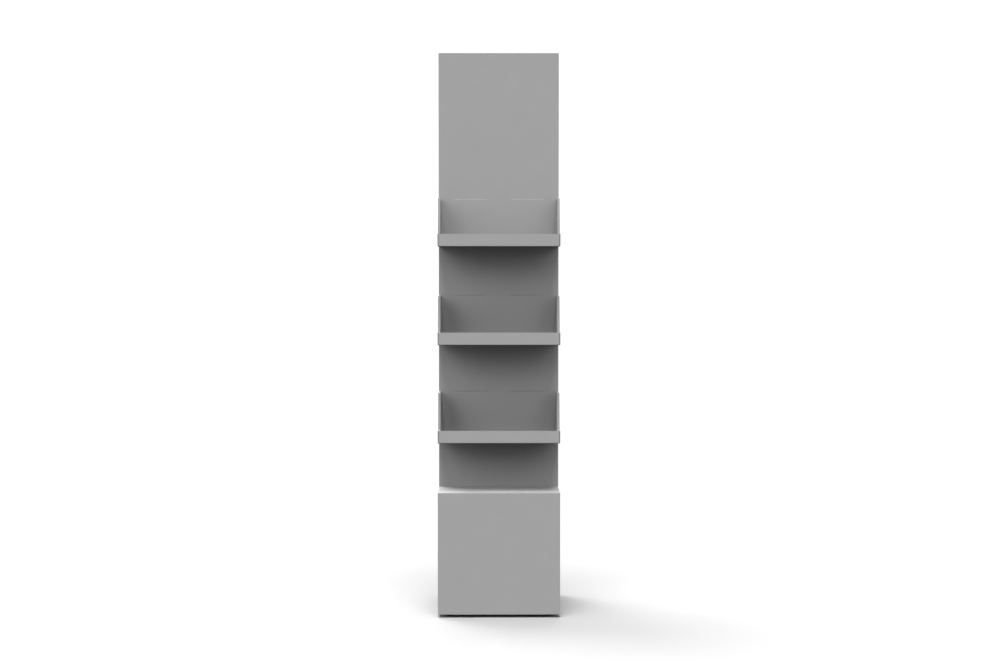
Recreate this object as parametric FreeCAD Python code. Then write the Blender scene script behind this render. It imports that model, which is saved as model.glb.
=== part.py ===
import FreeCAD, Part
import math
import os

from FreeCAD import Vector

# A cardboard floor display stand. A square base box stands on a low recessed foot frame. A tall
# rectangular column with a plain header stands on the back of the base, and three folded trays
# hang on the column's front. The origin is on the floor under the middle of the stand.
# X points right, Y points to the back and Z points up. All sizes are in millimetres.

# The board and how it folds
board = 2.5                # thickness of the corrugated board
layer_gap = 0.2            # air between two layers of one folded sheet
crease_radius = 0.5        # inside radius of a crease
seat = 0.3                 # clearance between pieces that fit together
past = 1.0                 # how far a block that cuts runs past the face it opens
parallel_limit = 0.01      # edges whose directions differ by less than this count as parallel

# The whole stand
stand_width = 400.0
stand_depth = 400.0
base_height = 400.0        # the base box, from its lower edge to its top face
column_height = 1444.0     # from the base's top face to the top of the header

# The foot frame, glued up from flat layers of board
foot_height = 11.0
foot_inset = 45.0
foot_rail = 65.0
foot_corner_radius = 12.0

# The base box
base_flap = 35.0           # glue flaps behind the front and back walls
flap_relief = 6.0          # how far a glue flap stops short of a crease or an edge
base_tray_wall = 60.0
divider_spacing = 132.0    # between the two dividers that run from front to back

# The column and the folded braces inside it
joint_flap = 40.0          # glued lap that closes the column at its back right corner
brace_flange = 60.0
collar_flange = 60.0
cap_flange = 50.0

# The trays
tray_depth = 160.0
tray_side_height = 160.0
lip_height = 41.0
side_level_run = 80.0      # part of the side wall that keeps its full height, from the column on
side_slope_run = 27.0      # part that slopes down to the height of the lip
side_corner_radius = 4.0   # rounding of the die cut corners of the side walls
first_tray_rise = 161.0    # from the base's top face to the underside of the lowest tray
tray_pitch = 320.5
tray_names = ["bottom", "middle", "top"]
flap_ends_apart = 2.0      # between a lip flap and a rear flap, inside the side wall's layers
lock_tab_width = 40.0
lock_tab_spacing = 78.0
hook_width = 110.0
hook_spacing = 190.0
hook_drop = 35.0

# Values that follow from the ones above
half_width = stand_width / 2
half_depth = stand_depth / 2
bend_middle = crease_radius + board / 2    # radius of a crease on the sheet's middle line
bend_outer = crease_radius + board
base_top = foot_height + base_height
column_front = -half_depth + tray_depth
column_top = base_top + column_height
layer_step = board + layer_gap
side_wall = board + 2 * layer_step         # outer wall, flap and inner wall together
slope_foot = -side_level_run - side_slope_run    # where the side wall's slope meets the lip's height
double_wall = board + layer_step

# The three ways to look at a section: its own two directions, and the one along its creases
FRONT_VIEW = (Vector(1, 0, 0), Vector(0, 0, 1), Vector(0, 1, 0))
SIDE_VIEW = (Vector(0, 1, 0), Vector(0, 0, 1), Vector(1, 0, 0))
PLAN_VIEW = (Vector(1, 0, 0), Vector(0, 1, 0), Vector(0, 0, 1))


def block(x_range, y_range, z_range):
    """Plain rectangular solid between the given lowest and highest coordinates."""
    size = [high - low for low, high in (x_range, y_range, z_range)]
    return Part.makeBox(size[0], size[1], size[2], Vector(x_range[0], y_range[0], z_range[0]))


def heading(start, end):
    """Direction from one point of a section to the next."""
    return (Vector(end[0], end[1], 0) - Vector(start[0], start[1], 0)).normalize()


def left_of(direction):
    """Direction that lies to the left of the given one."""
    return Vector(-direction.y, direction.x, 0)


def sheet_face_edges(corners, side, place):
    """Lines and arcs along one face of a folded sheet, whose middle line has the given corners.

    The side is 1 for the face to the left of the line and -1 for the one to its right.
    """
    edges = []
    first_heading = heading(corners[0], corners[1])
    start = Vector(corners[0][0], corners[0][1], 0) + left_of(first_heading) * (side * board / 2)
    for before, corner, after in zip(corners, corners[1:], corners[2:]):
        way_in = heading(before, corner)
        way_out = heading(corner, after)
        turn = math.atan2(way_in.x * way_out.y - way_in.y * way_out.x, way_in.dot(way_out))
        hand = math.copysign(1, turn)
        setback = bend_middle * math.tan(abs(turn) / 2)
        peak = Vector(corner[0], corner[1], 0)
        centre = peak - way_in * setback + left_of(way_in) * (hand * bend_middle)
        radius = bend_middle - hand * side * board / 2
        bend_start = centre - left_of(way_in) * (hand * radius)
        bend_peak = centre + (peak - centre).normalize() * radius
        bend_end = centre - left_of(way_out) * (hand * radius)
        edges.append(Part.LineSegment(place(start), place(bend_start)).toShape())
        edges.append(Part.Arc(place(bend_start), place(bend_peak), place(bend_end)).toShape())
        start = bend_end
    last_heading = heading(corners[-2], corners[-1])
    end = Vector(corners[-1][0], corners[-1][1], 0) + left_of(last_heading) * (side * board / 2)
    edges.append(Part.LineSegment(place(start), place(end)).toShape())
    return edges, end


def folded_sheet(view, corners, low, high):
    """Board folded along the middle line given by corners, from low to high along its creases."""
    def place(spot):
        return view[0] * spot.x + view[1] * spot.y + view[2] * low

    left_edges, left_end = sheet_face_edges(corners, 1, place)
    right_edges, right_end = sheet_face_edges(corners, -1, place)
    left_start = left_edges[0].Vertexes[0].Point
    right_start = right_edges[0].Vertexes[0].Point
    end_cap = Part.LineSegment(place(left_end), place(right_end)).toShape()
    start_cap = Part.LineSegment(right_start, left_start).toShape()
    outline = Part.Wire(Part.__sortEdges__(left_edges + [end_cap] + right_edges + [start_cap]))
    return Part.Face(outline).extrude(view[2] * (high - low))


def edges_along(shape, direction):
    """Straight edges of a shape that run in the given direction."""
    chosen = []
    for edge in shape.Edges:
        tangent = edge.tangentAt(edge.FirstParameter)
        if tangent.cross(direction).Length < parallel_limit:
            chosen.append(edge)
    return chosen


def joined(pieces):
    """One solid out of overlapping pieces, with no seams left on flat faces."""
    return pieces[0].fuse(pieces[1:]).removeSplitter()


def mirrored_x(shape):
    """The same shape on the other side of the stand's middle plane."""
    return shape.mirror(Vector(0, 0, 0), Vector(1, 0, 0))


def flanged_panel(width, depth, flange):
    """Flat panel with a flange folded down along each edge, and open relieved corners.

    The panel's upper face lies at height zero, around the middle of the piece.
    """
    panel_middle = -board / 2
    across = width / 2 - board / 2
    along = depth / 2 - board / 2
    side_flanges = folded_sheet(
        FRONT_VIEW,
        [(-across, -flange), (-across, panel_middle), (across, panel_middle), (across, -flange)],
        -depth / 2 + bend_outer, depth / 2 - bend_outer)
    end_flanges = folded_sheet(
        SIDE_VIEW,
        [(-along, -flange), (-along, panel_middle), (along, panel_middle), (along, -flange)],
        -width / 2 + bend_outer, width / 2 - bend_outer)
    return joined([side_flanges, end_flanges])


def foot_frame():
    """Low square frame of glued layers, set back under the base on all sides."""
    outer_x = half_width - foot_inset
    outer_y = half_depth - foot_inset
    plate = block((-outer_x, outer_x), (-outer_y, outer_y), (0, foot_height))
    inner_x = outer_x - foot_rail
    inner_y = outer_y - foot_rail
    window = block((-inner_x, inner_x), (-inner_y, inner_y), (-past, foot_height + past))
    window = window.makeFillet(foot_corner_radius, edges_along(window, Vector(0, 0, 1)))
    return plate.cut(window)


def base_cover():
    """Hood of the base: a top panel and four walls, with the side walls' flaps behind the others."""
    wall_low = foot_height
    top_middle = base_top - board / 2
    across = half_width - board / 2
    along = half_depth - board / 2
    front_and_back = folded_sheet(
        SIDE_VIEW,
        [(-along, wall_low), (-along, top_middle), (along, top_middle), (along, wall_low)],
        -half_width, half_width)
    side_strip_depth = half_depth - layer_step
    for x_range in ((-half_width, -half_width + bend_outer), (half_width - bend_outer, half_width)):
        side_strip = block(x_range, (-side_strip_depth, side_strip_depth), (wall_low, base_top))
        front_and_back = front_and_back.cut(side_strip)
    side_creases = folded_sheet(
        FRONT_VIEW,
        [(-across, base_top - 2 * bend_outer), (-across, top_middle),
         (across, top_middle), (across, base_top - 2 * bend_outer)],
        -side_strip_depth, side_strip_depth)
    flap_middle = half_depth - layer_step - board / 2
    flap_end = half_width - base_flap
    side_panel = folded_sheet(
        PLAN_VIEW,
        [(-flap_end, -flap_middle), (-across, -flap_middle),
         (-across, flap_middle), (-flap_end, flap_middle)],
        wall_low, base_top - bend_outer)
    flap_zone_x = (-half_width + bend_outer, -flap_end + past)
    below_flap = (wall_low - past, wall_low + flap_relief)
    above_flap = (base_top - board - flap_relief, base_top - board)
    for y_side in (-1, 1):
        y_range = sorted((y_side * (half_depth - double_wall - past), y_side * (half_depth - board)))
        for z_range in (below_flap, above_flap):
            side_panel = side_panel.cut(block(flap_zone_x, y_range, z_range))
    return joined([front_and_back, side_creases, side_panel, mirrored_x(side_panel)])


def base_tray():
    """Shallow tray that closes the base from below and holds the feet of the dividers."""
    width = stand_width - 2 * board - 2 * seat
    depth = stand_depth - 2 * double_wall - 2 * seat
    tray = flanged_panel(width, depth, base_tray_wall)
    tray.rotate(Vector(0, 0, 0), Vector(1, 0, 0), 180)
    tray.translate(Vector(0, 0, foot_height))
    return tray


def divider_panel(length, low, high):
    """Upright board panel along X, with its middle plane at Y zero."""
    return block((-length / 2, length / 2), (-board / 2, board / 2), (low, high))


def base_dividers():
    """Three crossed dividers that hold the base's top up, halved into each other.

    The one along X stands under the front wall of the column.
    """
    low = foot_height + board + seat
    high = base_top - board - seat
    half_way = (low + high) / 2
    slot_width = board + 2 * seat
    inside_width = stand_width - 4 * board - 4 * seat
    inside_depth = stand_depth - 2 * double_wall - 2 * board - 4 * seat
    cross_y = column_front + board / 2
    cross = divider_panel(inside_width, low, high)
    cross.translate(Vector(0, cross_y, 0))
    dividers = {}
    for name, x in (("left", -divider_spacing / 2), ("right", divider_spacing / 2)):
        slot_x = (x - slot_width / 2, x + slot_width / 2)
        slot_y = (cross_y - slot_width / 2, cross_y + slot_width / 2)
        cross = cross.cut(block(slot_x, slot_y, (half_way - seat, high + past)))
        lengthwise = divider_panel(inside_depth, low, high)
        lengthwise.rotate(Vector(0, 0, 0), Vector(0, 0, 1), 90)
        lengthwise.translate(Vector(x, 0, 0))
        dividers[name] = lengthwise.cut(block(slot_x, slot_y, (low - past, half_way)))
    dividers["cross"] = cross
    return dividers


def hook_centres():
    """Places of a tray's hooks across the stand."""
    return (-hook_spacing / 2, hook_spacing / 2)


def column_sleeve(tray_heights):
    """Column and header in one sheet, lapped at the back right corner, with slots for the hooks."""
    side = half_width - board / 2
    front = column_front + board / 2
    back = half_depth - board / 2
    lap = back - layer_step
    sleeve = folded_sheet(
        PLAN_VIEW,
        [(half_width - joint_flap, lap), (side, lap), (side, front), (-side, front), (-side, back),
         (half_width, back)],
        base_top, column_top)
    for tray_height in tray_heights:
        hook_top = tray_height + tray_side_height
        for x in hook_centres():
            slot_x = (x - hook_width / 2 - seat, x + hook_width / 2 + seat)
            slot_y = (column_front - past, column_front + board + past)
            slot_z = (hook_top - board - seat, hook_top + seat)
            sleeve = sleeve.cut(block(slot_x, slot_y, slot_z))
    return sleeve.removeSplitter()


def column_insert(flange):
    """Folded insert that fills the column's inside and is notched round the column's glued lap.

    Its panel's upper face lies at height zero.
    """
    width = stand_width - 2 * board - 2 * seat
    inside_front = column_front + board + seat
    inside_back = half_depth - board - seat
    insert = flanged_panel(width, inside_back - inside_front, flange)
    insert.translate(Vector(0, (inside_front + inside_back) / 2, 0))
    notch_x = (half_width - joint_flap - flap_relief, half_width)
    notch_y = (half_depth - double_wall - seat, half_depth)
    return insert.cut(block(notch_x, notch_y, (-flange - past, past)))


def column_collar():
    """Insert glued on the base's top with its flanges up, which the column stands around."""
    collar = column_insert(collar_flange).mirror(Vector(0, 0, 0), Vector(0, 0, 1))
    collar.translate(Vector(0, 0, base_top))
    return collar


def column_brace(tray_height):
    """Insert behind a tray's lower edge, which keeps the column's front wall from bowing in."""
    brace = column_insert(brace_flange)
    brace.translate(Vector(0, 0, tray_height + brace_flange / 2))
    return brace


def column_cap():
    """Insert that closes the column's top, level with its edges."""
    cap = column_insert(cap_flange)
    cap.translate(Vector(0, 0, column_top))
    return cap


def side_profile_waste():
    """Block that is cut from the side walls, above the step and the slope down to the lip."""
    side = -half_width - past
    front = -tray_depth - past
    above = tray_side_height + side_corner_radius + past
    corners = [
        Vector(side, front, lip_height),
        Vector(side, slope_foot, lip_height),
        Vector(side, -side_level_run, tray_side_height),
        Vector(side, -side_level_run, above),
        Vector(side, front, above),
    ]
    outline = Part.makePolygon(corners + corners[:1])
    waste = Part.Face(outline).extrude(Vector(stand_width + 2 * past, 0, 0))
    slope_foot_edges = [edge for edge in edges_along(waste, Vector(1, 0, 0))
                        if abs(edge.CenterOfMass.y - slope_foot) < past / 2]
    return waste.makeFillet(side_corner_radius, slope_foot_edges)


def tray_hook(rear_middle):
    """Flap of the rear wall that goes back through the column's slot and down behind its wall."""
    behind = board + seat + board / 2
    top = tray_side_height - board / 2
    hook = folded_sheet(
        SIDE_VIEW,
        [(rear_middle, top - hook_drop), (rear_middle, top), (behind, top), (behind, top - hook_drop)],
        -hook_width / 2, hook_width / 2)
    return hook


def tray_side(front_inside, rear_inside):
    """Left side wall above its bottom crease: the rolled top edge and the inner wall with its tabs.

    The inner wall stands on the floor, and its tabs go down into the floor's slots.
    """
    outer = -half_width + board / 2
    inner = -half_width + side_wall - board / 2
    top = tray_side_height - board / 2
    floor_top = board
    rolled = folded_sheet(
        FRONT_VIEW,
        [(outer, floor_top), (outer, top), (inner, top), (inner, floor_top)],
        front_inside, rear_inside)
    tabs = []
    for y in tab_centres(front_inside, rear_inside):
        tab_y = (y - lock_tab_width / 2, y + lock_tab_width / 2)
        tabs.append(block((inner - board / 2, inner + board / 2), tab_y, (layer_gap, 2 * board)))
    return joined([rolled] + tabs)


def tab_centres(front_inside, rear_inside):
    """Places of the inner walls' locking tabs between the tray's front and rear."""
    middle = (front_inside + rear_inside) / 2
    return (middle - lock_tab_spacing / 2, middle + lock_tab_spacing / 2)


def tray():
    """One tray folded from one sheet, with its underside at height zero and its back at Y zero.

    The rear wall's flaps reach the foot of the side walls' slopes and are cut to the same line,
    and the lip's flaps go on from there, so that the side walls are three layers thick throughout.
    """
    outer = half_width - board / 2
    floor_middle = board / 2
    lip_middle = -tray_depth + board / 2
    rear_middle = -seat - board / 2
    flap_middle = half_width - layer_step - board / 2
    straight = flap_middle - bend_middle
    flap_low = board + layer_gap
    lip_flap_end = slope_foot - flap_ends_apart
    front_inside = -tray_depth + board + layer_gap
    rear_inside = rear_middle - board / 2 - layer_gap

    body = folded_sheet(
        FRONT_VIEW,
        [(-outer, tray_side_height - bend_outer), (-outer, floor_middle),
         (outer, floor_middle), (outer, tray_side_height - bend_outer)],
        -tray_depth, -seat)
    crease_x = (-half_width + layer_step, half_width - layer_step)
    for y_range in ((-tray_depth - past, -tray_depth + bend_outer), (-seat - bend_outer, past)):
        body = body.cut(block(crease_x, y_range, (-past, 2 * bend_outer)))

    lip_floor_rear = folded_sheet(
        SIDE_VIEW,
        [(lip_middle, lip_height), (lip_middle, floor_middle),
         (rear_middle, floor_middle), (rear_middle, tray_side_height)],
        -straight, straight)
    for x in hook_centres():
        hook_x = (x - hook_width / 2, x + hook_width / 2)
        hook_z = (tray_side_height - 2 * bend_outer, tray_side_height + past)
        lip_floor_rear = lip_floor_rear.cut(block(hook_x, (rear_middle - board, 0), hook_z))
    lip_flaps = folded_sheet(
        PLAN_VIEW,
        [(-flap_middle, lip_flap_end), (-flap_middle, lip_middle),
         (flap_middle, lip_middle), (flap_middle, lip_flap_end)],
        flap_low, lip_height)
    rear_flaps = folded_sheet(
        PLAN_VIEW,
        [(-flap_middle, slope_foot), (-flap_middle, rear_middle),
         (flap_middle, rear_middle), (flap_middle, slope_foot)],
        flap_low, tray_side_height - board - layer_gap)
    for x in hook_centres():
        hook_x = (x - hook_width / 2, x + hook_width / 2)
        hook_z = (tray_side_height - 2 * bend_outer, tray_side_height + past)
        rear_flaps = rear_flaps.cut(block(hook_x, (rear_middle - board, 0), hook_z))

    side = tray_side(front_inside, rear_inside)
    inner_face = half_width - side_wall
    for y in tab_centres(front_inside, rear_inside):
        slot_y = (y - lock_tab_width / 2 - layer_gap, y + lock_tab_width / 2 + layer_gap)
        for slot_x in ((-inner_face - board - layer_gap, -inner_face + layer_gap),
                       (inner_face - layer_gap, inner_face + board + layer_gap)):
            body = body.cut(block(slot_x, slot_y, (-past, board + past)))
            lip_floor_rear = lip_floor_rear.cut(block(slot_x, slot_y, (-past, board + past)))

    hooks = []
    for x in hook_centres():
        hook = tray_hook(rear_middle)
        hook.translate(Vector(x, 0, 0))
        hooks.append(hook)
    whole = joined([body, lip_floor_rear, lip_flaps, rear_flaps, side, mirrored_x(side)] + hooks)
    return whole.cut(side_profile_waste()).removeSplitter()


def placed_tray(height):
    """Tray hung on the column with its underside at the given height."""
    hung = tray()
    hung.translate(Vector(0, column_front, height))
    return hung


def all_pieces():
    """Every piece of the stand by name, from the floor up."""
    tray_heights = [base_top + first_tray_rise + index * tray_pitch for index in range(len(tray_names))]
    pieces = {"foot_frame": foot_frame(), "base_tray": base_tray()}
    for name, divider in base_dividers().items():
        pieces["base_divider_" + name] = divider
    pieces["base_cover"] = base_cover()
    pieces["column_collar"] = column_collar()
    pieces["column_sleeve"] = column_sleeve(tray_heights)
    pieces["column_cap"] = column_cap()
    for name, height in zip(tray_names, tray_heights):
        pieces["column_brace_" + name] = column_brace(height)
        pieces["tray_" + name] = placed_tray(height)
    return pieces


os.makedirs("parts", exist_ok=True)
for piece_name, piece in all_pieces().items():
    piece.exportStep("parts/" + piece_name + ".step")
    print(piece_name, len(piece.Solids), piece.isValid(), round(piece.Volume / 1000, 1), "cm3")
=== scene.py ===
"""Dresses the folded cardboard floor stand: board finishes, fluted cut edges, a plain studio and camera."""

import logging
import math
from dataclasses import dataclass
from enum import Enum
from typing import Any

import bmesh
import bpy
from mathutils import Euler, Matrix, Vector


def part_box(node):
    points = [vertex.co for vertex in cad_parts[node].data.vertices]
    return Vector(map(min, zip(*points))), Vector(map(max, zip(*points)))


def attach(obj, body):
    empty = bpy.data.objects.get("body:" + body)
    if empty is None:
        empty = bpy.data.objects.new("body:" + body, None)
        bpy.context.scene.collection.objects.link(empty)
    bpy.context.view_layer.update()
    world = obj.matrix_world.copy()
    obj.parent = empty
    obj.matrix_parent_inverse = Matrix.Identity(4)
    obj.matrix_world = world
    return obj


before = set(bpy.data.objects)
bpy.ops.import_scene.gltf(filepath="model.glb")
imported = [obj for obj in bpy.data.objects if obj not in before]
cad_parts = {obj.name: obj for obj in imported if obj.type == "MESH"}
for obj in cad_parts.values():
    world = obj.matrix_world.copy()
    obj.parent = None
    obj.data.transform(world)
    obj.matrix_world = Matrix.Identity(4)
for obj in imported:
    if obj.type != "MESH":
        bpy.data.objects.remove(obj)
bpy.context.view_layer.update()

LOG = logging.getLogger("stand")

MM = 0.001
UP = Vector((0, 0, 1))
BACK = Vector((0, 1, 0))

# The board and the stand's main lines, the same as in the solids
BOARD_MM = 2.5
LAYER_STEP_MM = 2.7        # from one layer of a rolled side wall to the next
HALF_WIDTH_MM = 200.0
COLUMN_FRONT_MM = -40.0

# B flute, about 157 flutes to the metre
FLUTE_PITCH_MM = 6.35
FLUTE_ANGLE_PER_M = 2 * math.pi / (FLUTE_PITCH_MM * MM)

# A face counts as turned along an axis where its normal has more than this of it
TURNED = 0.5

PAPER_IOR = 1.47           # cellulose fibres


class FluteRun(Enum):
    """How the flutes lie in the walls at the left and right, by the axis that counts them."""

    UPRIGHT = "Y"
    LEVEL = "Z"


class CutFace(Enum):
    """Which faces of a node show the board's cut layers in its material."""

    NONE = "none"
    TOP_RIM = "top rim"
    STACK_SIDES = "stack sides"


def linear_colour(hex_code: str) -> tuple[float, float, float, float]:
    """Turn an sRGB hex colour into linear red, green, blue and alpha.

    Args:
        hex_code: Six hex digits after a hash, such as "#a0a0a0".

    Returns:
        The linear colour with an alpha of one.
    """
    channels = [int(hex_code[start:start + 2], 16) / 255 for start in (1, 3, 5)]
    linear = [value / 12.92 if value <= 0.04045 else ((value + 0.055) / 1.055) ** 2.4 for value in channels]
    return (linear[0], linear[1], linear[2], 1.0)


def add_node(
    tree: bpy.types.NodeTree,
    kind: str,
    settings: dict[str, Any] | None = None,
    inputs: dict[str | int, Any] | None = None,
    links: dict[str | int, bpy.types.NodeSocket] | None = None,
) -> bpy.types.Node:
    """Add one shader node with its settings, input values and incoming links.

    Args:
        tree: The node tree that gets the node.
        kind: Blender's type name of the node.
        settings: Values of the node's own properties.
        inputs: Values of its input sockets, by name or index.
        links: Output sockets to link to its inputs, by name or index.

    Returns:
        The new node.
    """
    node = tree.nodes.new(kind)
    for name, value in (settings or {}).items():
        setattr(node, name, value)
    for name, value in (inputs or {}).items():
        node.inputs[name].default_value = value
    for name, socket in (links or {}).items():
        tree.links.new(socket, node.inputs[name])
    return node


def empty_material(name: str) -> tuple[bpy.types.Material, bpy.types.NodeTree]:
    """Make a material with no nodes.

    Args:
        name: The material's name.

    Returns:
        The material and its node tree.
    """
    made = bpy.data.materials.new(name)
    made.use_nodes = True
    made.node_tree.nodes.clear()
    return made, made.node_tree


@dataclass(frozen=True)
class BoardFinish:
    """Paper liner of corrugated board, seen as a matt sheet with the flutes faintly showing through.

    Its fibres give a fine grain, the glue under it a wide cloudiness, and the flutes a slight
    washboard, with painted shade in its hollows and painted light on its ridges. A crease along the flutes
    stretches the liner, which is a little lighter there. Creases across the flutes, from a wall to a level
    panel, get painted shade: a darker colour that keeps them from catching the lights as bright dashes.
    """

    name: str
    dark_colour: str
    light_colour: str
    roughness: tuple[float, float]     # in the fibres' hollows and on their tops
    fibre_share: float                 # how much of the step from dark to light each pattern takes
    cloud_share: float
    speck_share: float = 0.0
    flute_run: FluteRun = FluteRun.LEVEL
    cut_face: CutFace = CutFace.NONE
    specular: float = 0.3              # uncoated paper, duller than a lacquered one

    # Fibre bundles: single fibres of 0.03 mm don't show, so they are drawn as coarse as this
    fibre_mm: float = 0.9
    fibre_stretch: float = 3.0         # they are longer along the level than up and down
    fibre_detail: float = 4.0
    fibre_breakup: float = 0.6
    fibre_bend: float = 0.4
    fibre_range: tuple[float, float] = (0.3, 0.7)
    fibre_depth_mm: float = 0.02

    # Clouds as wide as the patches that glue rollers leave
    cloud_mm: float = 70.0
    cloud_detail: float = 3.0

    # Dark specks of recycled print: real ones are under 1 mm, drawn coarser so that they show
    speck_mm: float = 2.2
    speck_detail: float = 2.0
    speck_breakup: float = 0.7
    speck_range: tuple[float, float] = (0.60, 0.72)

    # Washboard that the drying glue draws into the liner, and painted shade in its hollows with painted light
    # on its ridges
    washboard_mm: float = 0.012
    washboard_painted_shade_share: float = 0.04

    # Creases, found by normals that lie between the axes; those from a wall to a level panel get painted
    # shade
    crease_share: float = 0.12
    crease_range: tuple[float, float] = (0.98, 0.999)
    # Painted shade for the creases from a wall to a level panel, and the normals' range where it fades in
    crease_painted_shade_colour: str = "#838382"
    crease_painted_shade_range: tuple[float, float] = (0.25, 0.45)

    # Cut layers: pale paper edges, and painted shade on the flat cut face where the hollows between them
    # would be
    cut_colour: str = "#a6a6a6"
    hollow_painted_shade_colour: str = "#585858"
    stack_layer_mm: float = 2.75       # one glued layer of the foot
    rim_level: float = 0.9             # a rim's normal points up by more than this
    medium_swing: float = 0.6          # of half the board, where liners are 0.4 mm thick
    medium_range: tuple[float, float] = (0.16, 0.24)
    liner_range: tuple[float, float] = (0.70, 0.78)

    def material(self) -> bpy.types.Material:
        """Build the finish.

        Returns:
            A new material on object coordinates.
        """
        made, tree = empty_material(self.name)
        coordinates = add_node(tree, "ShaderNodeTexCoord")
        place = add_node(tree, "ShaderNodeSeparateXYZ", links={0: coordinates.outputs["Object"]})
        unsigned = add_node(tree, "ShaderNodeVectorMath", {"operation": "ABSOLUTE"},
                            links={0: coordinates.outputs["Normal"]})
        facing = add_node(tree, "ShaderNodeSeparateXYZ", links={0: unsigned.outputs[0]})
        wave = self.flute_wave(tree, place, facing)
        fibres = self.fibres(tree, coordinates)
        shade = self.shade(tree, coordinates, facing, fibres, wave)
        liner = add_node(tree, "ShaderNodeMix", {"data_type": "RGBA"},
                         {6: linear_colour(self.dark_colour), 7: linear_colour(self.light_colour)},
                         {0: shade})
        # Painted shade darkens the creases from a wall to a level panel
        colour = self.paint_crease_shade(tree, facing, liner.outputs[2])
        if self.cut_face is not CutFace.NONE:
            colour = self.cut_layers(tree, place, facing, colour)
        roughness = add_node(tree, "ShaderNodeMapRange",
                             inputs={"From Min": self.fibre_range[0], "From Max": self.fibre_range[1],
                                     "To Min": self.roughness[0], "To Max": self.roughness[1]},
                             links={"Value": fibres})
        shader = add_node(tree, "ShaderNodeBsdfPrincipled",
                          inputs={"IOR": PAPER_IOR, "Specular IOR Level": self.specular},
                          links={"Base Color": colour, "Roughness": roughness.outputs[0],
                                 "Normal": self.relief(tree, fibres, wave)})
        add_node(tree, "ShaderNodeOutputMaterial", links={"Surface": shader.outputs["BSDF"]})
        return made

    def flute_wave(self, tree: bpy.types.NodeTree, place: bpy.types.Node,
                   facing: bpy.types.Node) -> bpy.types.NodeSocket:
        """Wave from -1 to 1 over the flutes, counted along X except on the walls at the sides.

        Args:
            tree: The material's node tree.
            place: Separated object coordinates.
            facing: Separated normal, without its signs.

        Returns:
            The wave's value.
        """
        on_side = add_node(tree, "ShaderNodeMath", {"operation": "GREATER_THAN"}, {1: TURNED},
                           {0: facing.outputs["X"]})
        counted = add_node(tree, "ShaderNodeMix", {"data_type": "FLOAT"},
                           links={0: on_side.outputs[0], 2: place.outputs["X"],
                                  3: place.outputs[self.flute_run.value]})
        angle = add_node(tree, "ShaderNodeMath", {"operation": "MULTIPLY"}, {1: FLUTE_ANGLE_PER_M},
                         {0: counted.outputs[0]})
        return add_node(tree, "ShaderNodeMath", {"operation": "SINE"}, links={0: angle.outputs[0]}).outputs[0]

    def fibres(self, tree: bpy.types.NodeTree, coordinates: bpy.types.Node) -> bpy.types.NodeSocket:
        """Fine grain of the paper's fibre bundles.

        Args:
            tree: The material's node tree.
            coordinates: The texture coordinates.

        Returns:
            The grain's value from 0 to 1.
        """
        stretched = add_node(tree, "ShaderNodeMapping", inputs={"Scale": (1.0, 1.0, self.fibre_stretch)},
                             links={"Vector": coordinates.outputs["Object"]})
        grain = add_node(tree, "ShaderNodeTexNoise",
                         inputs={"Scale": 1 / (self.fibre_mm * self.fibre_stretch * MM),
                                 "Detail": self.fibre_detail, "Roughness": self.fibre_breakup,
                                 "Distortion": self.fibre_bend},
                         links={"Vector": stretched.outputs[0]})
        return grain.outputs[0]

    def shade(self, tree: bpy.types.NodeTree, coordinates: bpy.types.Node, facing: bpy.types.Node,
              fibres: bpy.types.NodeSocket, wave: bpy.types.NodeSocket) -> bpy.types.NodeSocket:
        """Place between the dark and the light colour: grain, clouds, specks, the washboard's painted shade
        and light, and creases.

        Args:
            tree: The material's node tree.
            coordinates: The texture coordinates.
            facing: Separated normal, without its signs.
            fibres: The fibres' grain.
            wave: The flutes' wave.

        Returns:
            The share of the light colour.
        """
        clouds = add_node(tree, "ShaderNodeTexNoise",
                          inputs={"Scale": 1 / (self.cloud_mm * MM), "Detail": self.cloud_detail},
                          links={"Vector": coordinates.outputs["Object"]})
        specks = add_node(tree, "ShaderNodeTexNoise",
                          inputs={"Scale": 1 / (self.speck_mm * MM), "Detail": self.speck_detail,
                                  "Roughness": self.speck_breakup},
                          links={"Vector": coordinates.outputs["Object"]})
        dark_specks = add_node(tree, "ShaderNodeMapRange",
                               inputs={"From Min": self.speck_range[0], "From Max": self.speck_range[1],
                                       "To Min": 0.0, "To Max": -1.0},
                               links={"Value": specks.outputs[0]})
        wider = add_node(tree, "ShaderNodeMath", {"operation": "MAXIMUM"},
                         links={0: facing.outputs["X"], 1: facing.outputs["Y"]})
        widest = add_node(tree, "ShaderNodeMath", {"operation": "MAXIMUM"},
                          links={0: wider.outputs[0], 1: facing.outputs["Z"]})
        crease = add_node(tree, "ShaderNodeMapRange",
                          inputs={"From Min": self.crease_range[0], "From Max": self.crease_range[1],
                                  "To Min": 1.0, "To Max": 0.0},
                          links={"Value": widest.outputs[0]})
        total = add_node(tree, "ShaderNodeMath", {"operation": "MULTIPLY_ADD"},
                         {1: self.crease_share, 2: 0.5}, {0: crease.outputs[0]}).outputs[0]
        for value, share in ((fibres, self.fibre_share), (clouds.outputs[0], self.cloud_share)):
            middle = add_node(tree, "ShaderNodeMath", {"operation": "SUBTRACT"}, {1: 0.5}, {0: value})
            total = add_node(tree, "ShaderNodeMath", {"operation": "MULTIPLY_ADD"}, {1: share},
                             {0: middle.outputs[0], 2: total}).outputs[0]
        total = add_node(tree, "ShaderNodeMath", {"operation": "MULTIPLY_ADD"}, {1: self.speck_share},
                         {0: dark_specks.outputs[0], 2: total}).outputs[0]
        # Painted shade in the washboard's hollows and painted light on its ridges
        return add_node(tree, "ShaderNodeMath", {"operation": "MULTIPLY_ADD"}, {1: self.washboard_painted_shade_share},
                        {0: wave, 2: total}).outputs[0]

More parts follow.
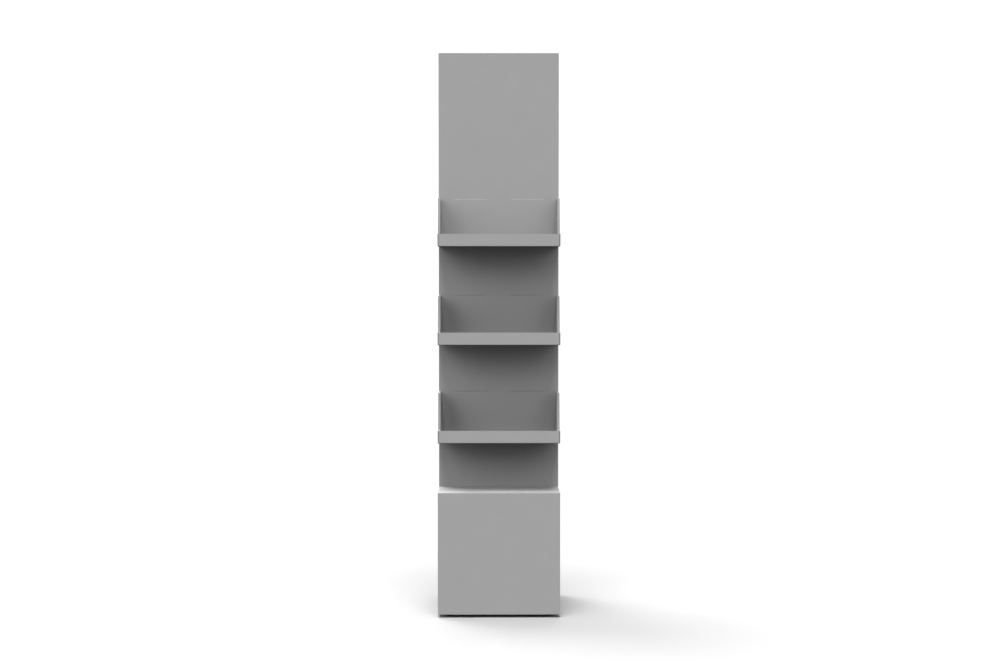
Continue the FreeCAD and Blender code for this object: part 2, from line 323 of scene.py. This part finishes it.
    def paint_crease_shade(self, tree: bpy.types.NodeTree, facing: bpy.types.Node,
                        colour: bpy.types.NodeSocket) -> bpy.types.NodeSocket:
        """Paint shade into the creases from a wall to a level panel, which run across the flutes.

        Args:
            tree: The material's node tree.
            facing: Separated normal, without its signs.
            colour: The liner's colour.

        Returns:
            The colour with painted shade in those creases.
        """
        turn = add_node(tree, "ShaderNodeMath", {"operation": "MINIMUM"},
                        links={0: facing.outputs["Y"], 1: facing.outputs["Z"]})
        shaded_crease = add_node(tree, "ShaderNodeMapRange",
                           inputs={"From Min": self.crease_painted_shade_range[0], "From Max": self.crease_painted_shade_range[1]},
                           links={"Value": turn.outputs[0]})
        return add_node(tree, "ShaderNodeMix", {"data_type": "RGBA"},
                        {7: linear_colour(self.crease_painted_shade_colour)},
                        {0: shaded_crease.outputs[0], 6: colour}).outputs[2]

    def relief(self, tree: bpy.types.NodeTree, fibres: bpy.types.NodeSocket,
               wave: bpy.types.NodeSocket) -> bpy.types.NodeSocket:
        """Shallow relief of the fibres and of the flutes under the liner, its height in millimetres.

        Args:
            tree: The material's node tree.
            fibres: The fibres' grain.
            wave: The flutes' wave.

        Returns:
            The bent normal.
        """
        grain = add_node(tree, "ShaderNodeMath", {"operation": "MULTIPLY"}, {1: self.fibre_depth_mm},
                         {0: fibres})
        height = add_node(tree, "ShaderNodeMath", {"operation": "MULTIPLY_ADD"}, {1: self.washboard_mm},
                          {0: wave, 2: grain.outputs[0]})
        bump = add_node(tree, "ShaderNodeBump", inputs={"Strength": 1.0, "Distance": MM},
                        links={"Height": height.outputs[0]})
        return bump.outputs["Normal"]

    def rim_depth(self, tree: bpy.types.NodeTree,
                  place: bpy.types.Node) -> tuple[bpy.types.NodeSocket, bpy.types.NodeSocket]:
        """Depth into the column's wall from its outer face, and which walls are the side ones.

        Args:
            tree: The material's node tree.
            place: Separated object coordinates.

        Returns:
            The depth in metres, and 1 on the walls at the sides or 0 on the others.
        """
        from_middle = add_node(tree, "ShaderNodeMath", {"operation": "ABSOLUTE"},
                               links={0: place.outputs["X"]})
        side_depth = add_node(tree, "ShaderNodeMath", {"operation": "SUBTRACT"}, {0: HALF_WIDTH_MM * MM},
                              {1: from_middle.outputs[0]})
        back_depth = add_node(tree, "ShaderNodeMath", {"operation": "SUBTRACT"}, {0: HALF_WIDTH_MM * MM},
                              {1: place.outputs["Y"]})
        front_depth = add_node(tree, "ShaderNodeMath", {"operation": "SUBTRACT"}, {1: COLUMN_FRONT_MM * MM},
                               {0: place.outputs["Y"]})
        wall_depth = add_node(tree, "ShaderNodeMath", {"operation": "MINIMUM"},
                              links={0: back_depth.outputs[0], 1: front_depth.outputs[0]})
        on_side = add_node(tree, "ShaderNodeMath", {"operation": "LESS_THAN"},
                           links={0: side_depth.outputs[0], 1: wall_depth.outputs[0]})
        depth = add_node(tree, "ShaderNodeMath", {"operation": "MINIMUM"},
                         links={0: side_depth.outputs[0], 1: wall_depth.outputs[0]})
        return depth.outputs[0], on_side.outputs[0]

    def cut_layers(self, tree: bpy.types.NodeTree, place: bpy.types.Node, facing: bpy.types.Node,
                   colour: bpy.types.NodeSocket) -> bpy.types.NodeSocket:
        """Draw the two liners and the wavy medium between them on the cut faces, with painted shade between
        the papers.

        Args:
            tree: The material's node tree.
            place: Separated object coordinates.
            facing: Separated normal, without its signs.
            colour: The liner's colour on all the other faces.

        Returns:
            The colour with the cut faces drawn in.
        """
        if self.cut_face is CutFace.TOP_RIM:
            mask = add_node(tree, "ShaderNodeMath", {"operation": "GREATER_THAN"}, {1: self.rim_level},
                            {0: facing.outputs["Z"]})
            depth, on_side = self.rim_depth(tree, place)
            layer_mm = BOARD_MM
        else:
            mask = add_node(tree, "ShaderNodeMath", {"operation": "LESS_THAN"}, {1: TURNED},
                            {0: facing.outputs["Z"]})
            depth = place.outputs["Z"]
            on_side = add_node(tree, "ShaderNodeMath", {"operation": "GREATER_THAN"}, {1: TURNED},
                               {0: facing.outputs["X"]}).outputs[0]
            layer_mm = self.stack_layer_mm
        along = add_node(tree, "ShaderNodeMix", {"data_type": "FLOAT"},
                         links={0: on_side, 2: place.outputs["X"], 3: place.outputs["Y"]})
        angle = add_node(tree, "ShaderNodeMath", {"operation": "MULTIPLY"}, {1: FLUTE_ANGLE_PER_M},
                         {0: along.outputs[0]})
        medium = add_node(tree, "ShaderNodeMath", {"operation": "SINE"}, links={0: angle.outputs[0]})
        layer = add_node(tree, "ShaderNodeMath", {"operation": "DIVIDE"}, {1: layer_mm * MM}, {0: depth})
        within = add_node(tree, "ShaderNodeMath", {"operation": "FRACT"}, links={0: layer.outputs[0]})
        # From -1 at the board's outer face to 1 at its inner one
        height = add_node(tree, "ShaderNodeMath", {"operation": "MULTIPLY_ADD"}, {1: 2.0, 2: -1.0},
                          {0: within.outputs[0]})
        off_medium = add_node(tree, "ShaderNodeMath", {"operation": "MULTIPLY_ADD"}, {1: -self.medium_swing},
                              {0: medium.outputs[0], 2: height.outputs[0]})
        medium_away = add_node(tree, "ShaderNodeMath", {"operation": "ABSOLUTE"},
                               links={0: off_medium.outputs[0]})
        medium_paper = add_node(tree, "ShaderNodeMapRange",
                                inputs={"From Min": self.medium_range[0], "From Max": self.medium_range[1],
                                        "To Min": 1.0, "To Max": 0.0},
                                links={"Value": medium_away.outputs[0]})
        liner_away = add_node(tree, "ShaderNodeMath", {"operation": "ABSOLUTE"}, links={0: height.outputs[0]})
        liner_paper = add_node(tree, "ShaderNodeMapRange",
                               inputs={"From Min": self.liner_range[0], "From Max": self.liner_range[1]},
                               links={"Value": liner_away.outputs[0]})
        paper = add_node(tree, "ShaderNodeMath", {"operation": "MAXIMUM"},
                         links={0: medium_paper.outputs[0], 1: liner_paper.outputs[0]})
        # Painted shade where the hollows between the papers are, pale paper elsewhere
        layers = add_node(tree, "ShaderNodeMix", {"data_type": "RGBA"},
                          {6: linear_colour(self.hollow_painted_shade_colour), 7: linear_colour(self.cut_colour)},
                          {0: paper.outputs[0]})
        return add_node(tree, "ShaderNodeMix", {"data_type": "RGBA"},
                        links={0: mask.outputs[0], 6: colour, 7: layers.outputs[2]}).outputs[2]


@dataclass(frozen=True)
class CutPaper:
    """Die cut edges of the liners and the fluted medium: raw, slightly furry paper, paler than the liner."""

    name: str = "die_cut_paper_edges"
    dark_colour: str = "#969696"
    light_colour: str = "#b7b7b7"
    roughness: float = 0.92
    specular: float = 0.2
    fur_mm: float = 0.35               # tufts of fibres that the die tears out
    fur_detail: float = 3.0
    fur_breakup: float = 0.65
    fur_depth_mm: float = 0.03

    def material(self) -> bpy.types.Material:
        """Build the finish.

        Returns:
            A new material on object coordinates.
        """
        made, tree = empty_material(self.name)
        coordinates = add_node(tree, "ShaderNodeTexCoord")
        fur = add_node(tree, "ShaderNodeTexNoise",
                       inputs={"Scale": 1 / (self.fur_mm * MM), "Detail": self.fur_detail,
                               "Roughness": self.fur_breakup},
                       links={"Vector": coordinates.outputs["Object"]})
        colour = add_node(tree, "ShaderNodeMix", {"data_type": "RGBA"},
                          {6: linear_colour(self.dark_colour), 7: linear_colour(self.light_colour)},
                          {0: fur.outputs[0]})
        bump = add_node(tree, "ShaderNodeBump", inputs={"Strength": 1.0, "Distance": self.fur_depth_mm * MM},
                        links={"Height": fur.outputs[0]})
        shader = add_node(tree, "ShaderNodeBsdfPrincipled",
                          inputs={"Roughness": self.roughness, "IOR": PAPER_IOR,
                                  "Specular IOR Level": self.specular},
                          links={"Base Color": colour.outputs[2], "Normal": bump.outputs["Normal"]})
        add_node(tree, "ShaderNodeOutputMaterial", links={"Surface": shader.outputs["BSDF"]})
        return made


@dataclass
class FlutedEdge:
    """One cut edge of the board: the two liners' edges and the medium winding between them.

    It stands a little proud of the solid's cut face, so that real hollows show between the papers.
    """

    start: Vector
    end: Vector
    inward: Vector                     # from the board's outer face to its inner one
    outward: Vector                    # out of the cut face
    pitch_mm: float | None = FLUTE_PITCH_MM    # none where the cut runs along the flutes
    liner_mm: float = 0.4
    medium_mm: float = 0.32
    proud_mm: float = 0.35
    medium_reach: float = 0.9          # the medium stands proud by this share of the liners' height
    steps_per_flute: int = 8

    def add_to(self, shape: bmesh.types.BMesh) -> None:
        """Add the liners' edges and the medium's edge to a mesh.

        Args:
            shape: The mesh that gets them.
        """
        self.add_liner(shape, self.liner_mm / 2)
        self.add_liner(shape, BOARD_MM - self.liner_mm / 2)
        self.add_medium(shape)

    def middle(self, depth_mm: float, height_mm: float) -> Vector:
        """Middle of a strip along this edge.

        Args:
            depth_mm: How far the strip's middle lies from the board's outer face.
            height_mm: How far the strip stands out of the cut face.

        Returns:
            The point in metres.
        """
        return (self.start + self.end) / 2 + (self.inward * depth_mm + self.outward * height_mm / 2) * MM

    def add_liner(self, shape: bmesh.types.BMesh, depth_mm: float) -> None:
        """Add the edge of one liner.

        Args:
            shape: The mesh that gets it.
            depth_mm: How far the liner's middle lies from the board's outer face.
        """
        across = self.inward * self.liner_mm * MM
        axes = Matrix((self.end - self.start, across, self.outward * self.proud_mm * MM))
        place = Matrix.Translation(self.middle(depth_mm, self.proud_mm)) @ axes.transposed().to_4x4()
        bmesh.ops.create_cube(shape, size=1.0, matrix=place)

    def add_medium(self, shape: bmesh.types.BMesh) -> None:
        """Add the edge of the fluted medium, as a thin ribbon that touches both liners in turn.

        Args:
            shape: The mesh that gets it.
        """
        along = self.end - self.start
        height_mm = self.proud_mm * self.medium_reach
        pitch = along.length
        swing = 0.0
        count = 1
        if self.pitch_mm:
            pitch = self.pitch_mm * MM
            swing = (BOARD_MM / 2 - self.liner_mm - self.medium_mm / 2) * MM
            count = max(1, round(along.length / pitch * self.steps_per_flute))
        axes = Matrix((along, self.outward * height_mm * MM, self.inward * MM))
        place = Matrix.Translation(self.middle(BOARD_MM / 2, height_mm)) @ axes.transposed().to_4x4()
        ribbon = bmesh.ops.create_grid(shape, x_segments=count, y_segments=1, size=0.5, matrix=place)["verts"]
        direction = along.normalized()
        for vertex in ribbon:
            travelled = (vertex.co - self.start).dot(direction)
            vertex.co += self.inward * (swing * math.sin(2 * math.pi * travelled / pitch))
        faces = list({face for vertex in ribbon for face in vertex.link_faces})
        bmesh.ops.recalc_face_normals(shape, faces=faces)
        bmesh.ops.solidify(shape, geom=faces, thickness=self.medium_mm * MM)


def finished_piece(name: str, shape: bmesh.types.BMesh, material: bpy.types.Material) -> bpy.types.Object:
    """Turn a mesh into a piece of the stand that rides on it.

    Args:
        name: The piece's name.
        shape: The mesh, which is freed.
        material: The piece's material.

    Returns:
        The new object.
    """
    bmesh.ops.recalc_face_normals(shape, faces=shape.faces)
    mesh = bpy.data.meshes.new(name)
    shape.to_mesh(mesh)
    shape.free()
    piece = bpy.data.objects.new(name, mesh)
    bpy.context.scene.collection.objects.link(piece)
    mesh.materials.append(material)
    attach(piece, "root")
    return piece


def dress(node_names: tuple[str, ...], material: bpy.types.Material) -> None:
    """Give some of the solids a material.

    Args:
        node_names: Names of the solids' nodes.
        material: Their material.
    """
    for name in node_names:
        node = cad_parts[name]
        node.data.materials.clear()
        node.data.materials.append(material)
        LOG.info("%s dressed in %s", name, material.name)


@dataclass
class Tray:
    """Die cut edges of one hung tray, which is folded from a single sheet."""

    node: str
    cut_paper: bpy.types.Material
    lip_mm: float = 41.0
    side_mm: float = 160.0
    slope_start_mm: tuple[float, float] = (-146.2, 44.3)    # back and up, past the rounded foot
    slope_end_mm: tuple[float, float] = (-120.8, 156.4)
    level_end_mm: float = -150.3       # where the lip's height ends at the foot of the slope
    front_mm: float = -199.98
    rear_mm: float = -40.3
    crease_mm: float = 3.0
    hook_edges_mm: tuple[float, float] = (40.0, 150.0)      # each hook's ends, where no edge is cut

    def spot(self, x: float, y: float, z: float) -> Vector:
        """Point of the tray from millimetres, its height counted from the tray's underside.

        Args:
            x: Sideways from the stand's middle.
            y: Backwards from the stand's middle.
            z: Up from the tray's underside.

        Returns:
            The point in metres.
        """
        return Vector((x * MM, y * MM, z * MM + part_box(self.node)[0][2]))

    def level_edge(self, low_x: float, high_x: float, y: float, z: float) -> FlutedEdge:
        """Level cut edge of a wall that faces the front.

        Args:
            low_x: Where it starts at the left.
            high_x: Where it ends at the right.
            y: The wall's front face.
            z: The edge's height over the tray's underside.

        Returns:
            The edge.
        """
        return FlutedEdge(self.spot(low_x, y, z), self.spot(high_x, y, z), BACK, UP)

    def cut_edges(self) -> list[FlutedEdge]:
        """Every cut edge of the tray that can be seen.

        Returns:
            The edges.
        """
        lip_end = HALF_WIDTH_MM - LAYER_STEP_MM - self.crease_mm
        rear_end = HALF_WIDTH_MM - 2 * LAYER_STEP_MM - BOARD_MM
        hook_start, hook_end = self.hook_edges_mm
        edges = [self.level_edge(-lip_end, lip_end, self.front_mm, self.lip_mm)]
        for low_x, high_x in ((-rear_end, -hook_end), (-hook_start, hook_start), (hook_end, rear_end)):
            edges.append(self.level_edge(low_x, high_x, self.rear_mm - BOARD_MM, self.side_mm))
        for side in (-1, 1):
            edges.extend(self.side_edges(side))
        return edges

    def side_edges(self, side: int) -> list[FlutedEdge]:
        """Cut edges of one side wall, on the level run behind the lip and on the slope.

        Args:
            side: -1 for the left wall and 1 for the right one.

        Returns:
            The edges of the outer wall, the flap and the inner wall.
        """
        inward = Vector((-side, 0, 0))
        run_y = self.slope_end_mm[0] - self.slope_start_mm[0]
        run_z = self.slope_end_mm[1] - self.slope_start_mm[1]
        length = math.hypot(run_y, run_z)
        slope_out = Vector((0, -run_z / length, run_y / length))
        level_pitch = FLUTE_PITCH_MM * length / run_z      # level flutes, cut at a slant
        upright_pitch = FLUTE_PITCH_MM * length / run_y    # upright flutes, cut at a flat slant
        edges = []
        for layer, pitch, top_pitch in ((0, level_pitch, None), (1, upright_pitch, FLUTE_PITCH_MM),
                                        (2, level_pitch, None)):
            x = side * (HALF_WIDTH_MM - layer * LAYER_STEP_MM)
            front = self.front_mm if layer == 0 else self.front_mm + self.crease_mm
            edges.append(FlutedEdge(self.spot(x, *self.slope_start_mm), self.spot(x, *self.slope_end_mm),
                                    inward, slope_out, pitch))
            edges.append(FlutedEdge(self.spot(x, front, self.lip_mm),
                                    self.spot(x, self.level_end_mm, self.lip_mm), inward, UP, top_pitch))
        return edges

    def build(self) -> None:
        """Make the piece with all the cut edges of the tray."""
        shape = bmesh.new()
        for edge in self.cut_edges():
            edge.add_to(shape)
        piece = finished_piece(self.node + "_cut_edges", shape, self.cut_paper)
        LOG.info("%s built with %d faces", piece.name, len(piece.data.polygons))


@dataclass
class Stand:
    """The whole stand: the finishes of its boards and the cut edges of its trays."""

    tray_nodes: tuple[str, ...] = ("tray_bottom", "tray_middle", "tray_top")
    inner_nodes: tuple[str, ...] = (
        "base_tray", "base_divider_left", "base_divider_right", "base_divider_cross", "column_collar",
        "column_brace_bottom", "column_brace_middle", "column_brace_top",
    )
    # Calendered liner: smooth, so it is even and keeps a faint sheen
    outer_dark: str = "#9b9b9b"
    outer_light: str = "#acacac"
    outer_roughness: tuple[float, float] = (0.62, 0.74)
    outer_fibre_share: float = 0.35
    outer_cloud_share: float = 0.25
    # Recycled liner: rough and mottled, with specks of old print, and dull all over
    inner_dark: str = "#878786"
    inner_light: str = "#9b9b9a"
    inner_roughness: tuple[float, float] = (0.8, 0.95)
    inner_fibre_share: float = 1.1
    inner_cloud_share: float = 0.6
    inner_speck_share: float = 0.6
    inner_fibre_depth_mm: float = 0.05

    def outer_liner(self, name: str, flute_run: FluteRun, cut_face: CutFace = CutFace.NONE) -> BoardFinish:
        """Smooth pale grey liner of the boards that are seen.

        Args:
            name: The material's name.
            flute_run: How the flutes lie in the walls at the sides.
            cut_face: Which faces show the board's layers.

        Returns:
            The finish.
        """
        return BoardFinish(name, self.outer_dark, self.outer_light, self.outer_roughness,
                           self.outer_fibre_share, self.outer_cloud_share,
                           flute_run=flute_run, cut_face=cut_face)

    def inner_liner(self, name: str, cut_face: CutFace, fibre_depth_mm: float) -> BoardFinish:
        """Rough recycled liner of the boards inside and under the stand.

        Args:
            name: The material's name.
            cut_face: Which faces show the board's layers.
            fibre_depth_mm: Depth of the fibres' relief.

        Returns:
            The finish.
        """
        return BoardFinish(name, self.inner_dark, self.inner_light, self.inner_roughness,
                           self.inner_fibre_share, self.inner_cloud_share, self.inner_speck_share,
                           cut_face=cut_face, fibre_depth_mm=fibre_depth_mm)

    def build(self) -> None:
        """Dress the solids and add the cut edges."""
        level = self.outer_liner("calendered_pale_grey_liner_level_flutes", FluteRun.LEVEL)
        upright = self.outer_liner("calendered_pale_grey_liner_upright_flutes", FluteRun.UPRIGHT,
                                   CutFace.TOP_RIM)
        inner = self.inner_liner("unbleached_recycled_grey_liner", CutFace.NONE, self.inner_fibre_depth_mm)
        stack = self.inner_liner("stacked_board_with_die_cut_sides", CutFace.STACK_SIDES,
                                 BoardFinish.fibre_depth_mm)
        dress(("base_cover", "column_cap", *self.tray_nodes), level.material())
        dress(("column_sleeve",), upright.material())
        dress(self.inner_nodes, inner.material())
        dress(("foot_frame",), stack.material())
        cut_paper = CutPaper().material()
        for node in self.tray_nodes:
            Tray(node, cut_paper).build()


@dataclass(frozen=True)
class MattFloor:
    """Rolled matt white paint: an even pale floor with the faintest clouding, and no gloss at all."""

    name: str = "rolled_matt_white_paint"
    dark_colour: str = "#a6a6a6"
    light_colour: str = "#a8a8a8"
    roughness: float = 0.95
    specular: float = 0.0
    cloud_mm: float = 400.0            # as wide as a roller's strokes overlap
    cloud_detail: float = 2.0

    def material(self) -> bpy.types.Material:
        """Build the finish.

        Returns:
            A new material on object coordinates.
        """
        made, tree = empty_material(self.name)
        coordinates = add_node(tree, "ShaderNodeTexCoord")
        clouds = add_node(tree, "ShaderNodeTexNoise",
                          inputs={"Scale": 1 / (self.cloud_mm * MM), "Detail": self.cloud_detail},
                          links={"Vector": coordinates.outputs["Object"]})
        colour = add_node(tree, "ShaderNodeMix", {"data_type": "RGBA"},
                          {6: linear_colour(self.dark_colour), 7: linear_colour(self.light_colour)},
                          {0: clouds.outputs[0]})
        shader = add_node(tree, "ShaderNodeBsdfPrincipled",
                          inputs={"Roughness": self.roughness, "Specular IOR Level": self.specular},
                          links={"Base Color": colour.outputs[2]})
        add_node(tree, "ShaderNodeOutputMaterial", links={"Surface": shader.outputs["BSDF"]})
        return made


@dataclass
class StudioCamera:
    """Camera in front of the stand, a little above its middle and turned slightly down."""

    image_width_px: float = 1000.0
    sensor_width_mm: float = 36.0
    focal_px: float = 1782.4
    side_m: float = -0.0398
    distance_m: float = 5.9851
    height_m: float = 1.18487
    down_deg: float = 2.512
    right_deg: float = 0.427

    def build(self) -> None:
        """Create the camera and make it the scene's own."""
        data = bpy.data.cameras.new("studio_camera")
        data.sensor_fit = "HORIZONTAL"
        data.sensor_width = self.sensor_width_mm
        data.lens = self.focal_px / self.image_width_px * self.sensor_width_mm
        camera = bpy.data.objects.new("studio_camera", data)
        camera.location = (self.side_m, -self.distance_m, self.height_m)
        camera.rotation_euler = Euler((math.radians(90 - self.down_deg), 0, math.radians(-self.right_deg)))
        bpy.context.scene.collection.objects.link(camera)
        bpy.context.scene.camera = camera


@dataclass
class StudioFloor:
    """Wide pale floor that takes the stand's shadow and sends no light back to it."""

    half_size_m: float = 40.0

    def build(self) -> None:
        """Make the floor, which the stand's diffuse, glossy and shadow rays pass through."""
        mesh = bpy.data.meshes.new("studio_floor")
        shape = bmesh.new()
        bmesh.ops.create_grid(shape, x_segments=1, y_segments=1, size=self.half_size_m)
        shape.to_mesh(mesh)
        shape.free()
        floor = bpy.data.objects.new("studio_floor", mesh)
        bpy.context.scene.collection.objects.link(floor)
        mesh.materials.append(MattFloor().material())
        floor.visible_diffuse = False
        floor.visible_glossy = False
        floor.visible_shadow = False


@dataclass(frozen=True)
class SoftLight:
    """One large soft light, far away, by where it hangs and how large it looks."""

    name: str
    strength: float
    azimuth_deg: float      # 0 is to the right of the stand and 90 behind it
    elevation_deg: float
    spread_deg: float

    def build(self) -> None:
        """Hang the light and point it at the stand."""
        data = bpy.data.lights.new(self.name, "SUN")
        data.energy = self.strength
        data.angle = math.radians(self.spread_deg)
        light = bpy.data.objects.new(self.name, data)
        azimuth = math.radians(self.azimuth_deg)
        elevation = math.radians(self.elevation_deg)
        towards = Vector((math.cos(azimuth) * math.cos(elevation), math.sin(azimuth) * math.cos(elevation),
                          math.sin(elevation)))
        light.rotation_euler = towards.to_track_quat("Z", "Y").to_euler()
        bpy.context.scene.collection.objects.link(light)


@dataclass
class StudioLight:
    """A white surround that the camera sees, a dim even fill and a few large soft lights.

    The strongest hang high in front, so that each tray shades the panel below it. Those behind draw
    the shadow on the floor in front and to the right.
    """

    fill: float = 0.168
    backdrop: float = 1.2
    lights: tuple[SoftLight, ...] = (
        SoftLight("high_front_key", 2.57, 270, 70, 25),
        SoftLight("overhead_front", 1.06, 270, 80, 20),
        SoftLight("front_left", 1.08, 225, 35, 40),
        SoftLight("front_right", 0.32, 315, 35, 40),
        SoftLight("low_front", 0.40, 290, 25, 40),
        SoftLight("low_left", 0.44, 200, 12, 24),
        SoftLight("low_right", 0.24, 340, 12, 24),
        SoftLight("side_left", 0.60, 176, 25, 24),
        SoftLight("side_right", 0.50, 4, 25, 24),
        SoftLight("high_back_left", 2.25, 135, 60, 25),
        SoftLight("high_back", 1.50, 90, 65, 30),
    )

    def build(self) -> None:
        """Set the world and hang the lights."""
        world = bpy.data.worlds.new("white_surround")
        world.use_nodes = True
        tree = world.node_tree
        tree.nodes.clear()
        path = add_node(tree, "ShaderNodeLightPath")
        strength = add_node(tree, "ShaderNodeMapRange", inputs={"To Min": self.fill, "To Max": self.backdrop},
                            links={"Value": path.outputs["Is Camera Ray"]})
        background = add_node(tree, "ShaderNodeBackground", inputs={"Color": (1, 1, 1, 1)},
                              links={"Strength": strength.outputs[0]})
        add_node(tree, "ShaderNodeOutputWorld", links={"Surface": background.outputs[0]})
        bpy.context.scene.world = world
        for light in self.lights:
            light.build()


@dataclass(frozen=True)
class StudioView:
    """How the studio's light is taken: no light is passed on between surfaces, and greys stay true."""

    diffuse_bounces: int = 0           # the photograph's trays cast clean dark shades on the column

    def build(self) -> None:
        """Set the bounces and the view transform."""
        scene = bpy.context.scene
        scene.cycles.diffuse_bounces = self.diffuse_bounces
        scene.view_settings.view_transform = "Standard"
        scene.view_settings.look = "None"
        scene.view_settings.exposure = 0.0
        scene.view_settings.gamma = 1.0


def main() -> None:
    """Dress the stand and set up its studio."""
    logging.basicConfig(level=logging.INFO)
    StudioCamera().build()
    StudioFloor().build()
    StudioLight().build()
    StudioView().build()
    Stand().build()


if __name__ == "__main__":
    main()
